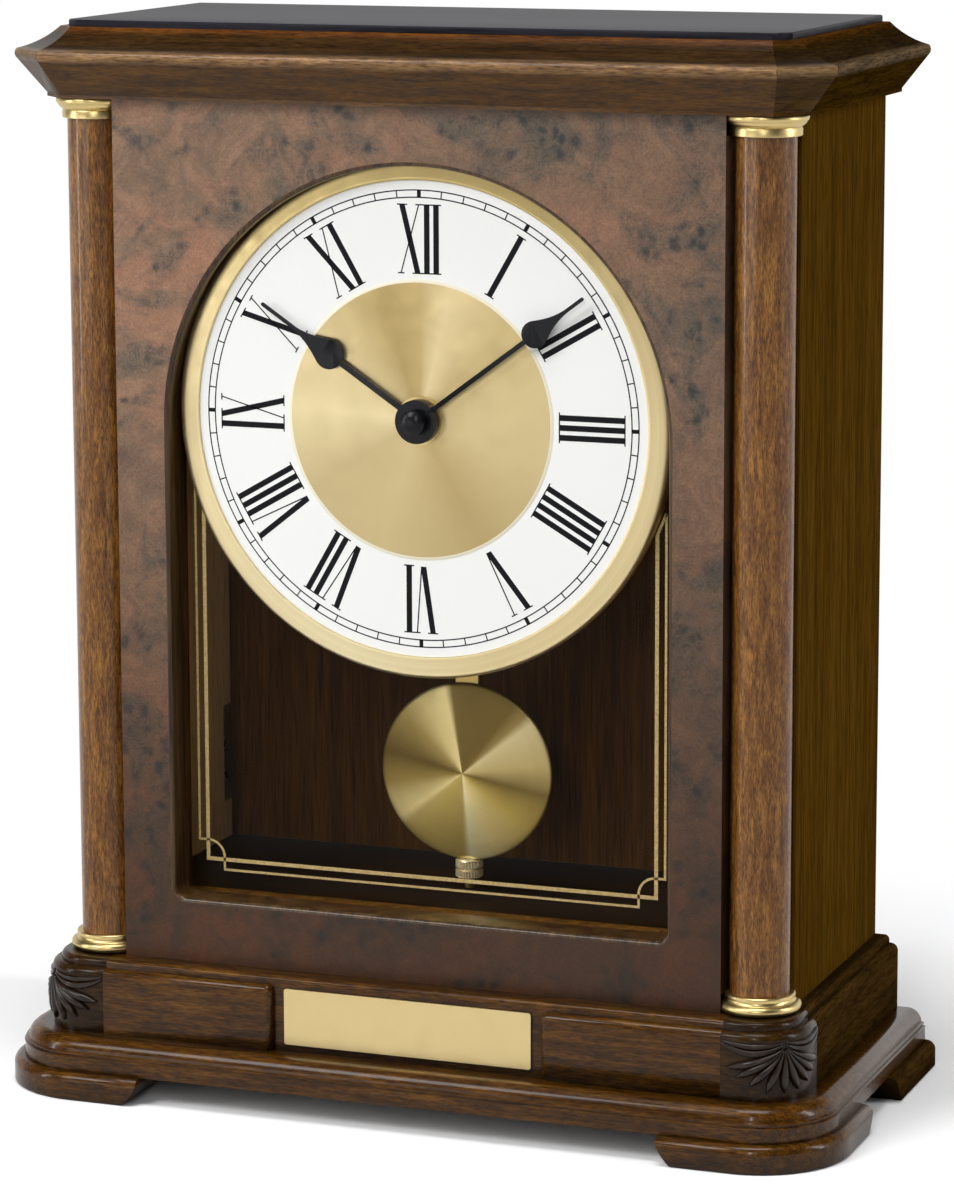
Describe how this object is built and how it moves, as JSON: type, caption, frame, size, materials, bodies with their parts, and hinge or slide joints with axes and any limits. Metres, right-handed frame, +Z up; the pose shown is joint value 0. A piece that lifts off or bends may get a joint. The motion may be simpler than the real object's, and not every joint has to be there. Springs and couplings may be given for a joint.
{
  "type": "mantel clock",
  "caption": "Wooden mantel clock with an arched window, brass-rimmed dial, corner columns, moulded cornice, bracket feet and a swinging pendulum behind glass",
  "frame": {"origin": "On the surface that the clock stands on, at the middle of its footprint.", "axes": "+X runs to the right as seen from the front, the clock faces -Y, and +Z is up."},
  "size_m": [0.2708, 0.1262, 0.33],
  "materials": {
    "case_veneer": "satin lacquer",
    "dark_wood": "gloss lacquer",
    "column_wood": "satin lacquer",
    "inner_wood": "unfinished board",
    "door_wood": "matt lacquer",
    "polished_brass": "satin, lacquered",
    "movement_brass": "machined",
    "window_pane": "clear",
    "dial_white": "matt white",
    "hand_black": "satin black",
    "movement_plastic": "black moulded",
    "steel": "bright",
    "magnet_metal": "ground",
    "circuit": "green board",
    "coil_copper": "enamelled winding",
    "guide_plastic": "moulded",
    "battery_case": "plain sleeve"
  },
  "bodies": {
    "case": {"arch_lipping": "dark_wood", "base_slab": "dark_wood", "battery": "battery_case", "battery_contacts": "steel", "bezel": "polished_brass", "case_ceiling": "inner_wood", "case_floor": "inner_wood", "centre_bush": "movement_brass", "circuit_board": "circuit", "column_base_rings": "polished_brass", "column_capitals": "polished_brass", "column_left": "column_wood", "column_right": "column_wood", "corner_blocks": "dark_wood", "corner_posts": "inner_wood", "cornice_corners": "dark_wood", "cornice_front": "dark_wood", "cornice_sides": "dark_wood", "dial": "dial_white", "dial_centre_disc": "polished_brass", "dial_plate": "inner_wood", "fixing_nut": "polished_brass", "foot_front_left": "dark_wood", "foot_front_right": "dark_wood", "frieze_front": "dark_wood", "frieze_rear": "inner_wood", "frieze_sides": "dark_wood", "front_panel": "case_veneer", "glazing_stops": "inner_wood", "hinge_case_leaves": "movement_brass", "hinge_pins": "movement_brass", "magnet_catch": "magnet_metal", "motor_unit": "movement_plastic", "movement_cover": "movement_plastic", "movement_housing": "movement_plastic", "name_plate": "polished_brass", "pendulum_coil": "coil_copper", "pendulum_stud": "steel", "rear_feet": "dark_wood", "side_panel_left": "case_veneer", "side_panel_right": "case_veneer", "top_board": "dark_wood", "window_glass": "window_pane"},
    "minute_hand": {"minute_hand": "hand_black", "hand_cap": "hand_black", "minute_arbor": "movement_brass"},
    "hour_hand": {"hour_hand": "hand_black", "hour_wheel": "movement_brass"},
    "minute_wheel": {"minute_wheel": "movement_brass", "setting_knob": "movement_plastic"},
    "pendulum": {"pendulum_hanger": "movement_plastic", "pendulum_magnet": "magnet_metal", "pendulum_rod": "polished_brass"},
    "bob": {"pendulum_bob": "polished_brass", "bob_guide": "guide_plastic"},
    "rating_nut": {"rating_nut": "polished_brass"},
    "back_door": {"door_board": "door_wood", "hinge_door_leaves": "movement_brass", "strike_plate": "steel", "door_knob": "movement_brass"}
  },
  "joints": [
    {"name": "minute_hand_turn", "type": "hinge", "parent": "case", "child": "minute_hand", "pos_m": [0, -0.03, 0.213], "axis": [0, 1, 0], "continuous": true},
    {"name": "hour_hand_turn", "type": "hinge", "parent": "case", "child": "hour_hand", "pos_m": [0, -0.03, 0.213], "axis": [0, 1, 0], "continuous": true},
    {"name": "minute_wheel_turn", "type": "hinge", "parent": "case", "child": "minute_wheel", "pos_m": [0.012, -0.02, 0.213], "axis": [0, 1, 0], "continuous": true},
    {"name": "pendulum_swing", "type": "hinge", "parent": "case", "child": "pendulum", "pos_m": [0, 0.001, 0.186], "axis": [0, 1, 0], "range_deg": [-6, 6]},
    {"name": "bob_slide", "type": "slide", "parent": "pendulum", "child": "bob", "axis": [0, 0, 1], "range_m": [-0.0028, 0.0028]},
    {"name": "rating_nut_turn", "type": "hinge", "parent": "bob", "child": "rating_nut", "pos_m": [0, 0.006, 0.0667], "axis": [0, 0, 1], "range_deg": [-1440, 1440]},
    {"name": "back_door_swing", "type": "hinge", "parent": "case", "child": "back_door", "pos_m": [-0.1007, 0.0616, 0.178], "axis": [0, 0, 1], "range_deg": [0, 110]}
  ],
  "couplings": [
    {"joint": "hour_hand_turn", "follows": "minute_hand_turn", "ratio": 0.083333},
    {"joint": "minute_wheel_turn", "follows": "minute_hand_turn", "ratio": -0.33333},
    {"joint": "rating_nut_turn", "follows": "bob_slide", "rad_per_m": 8975.9}
  ]
}
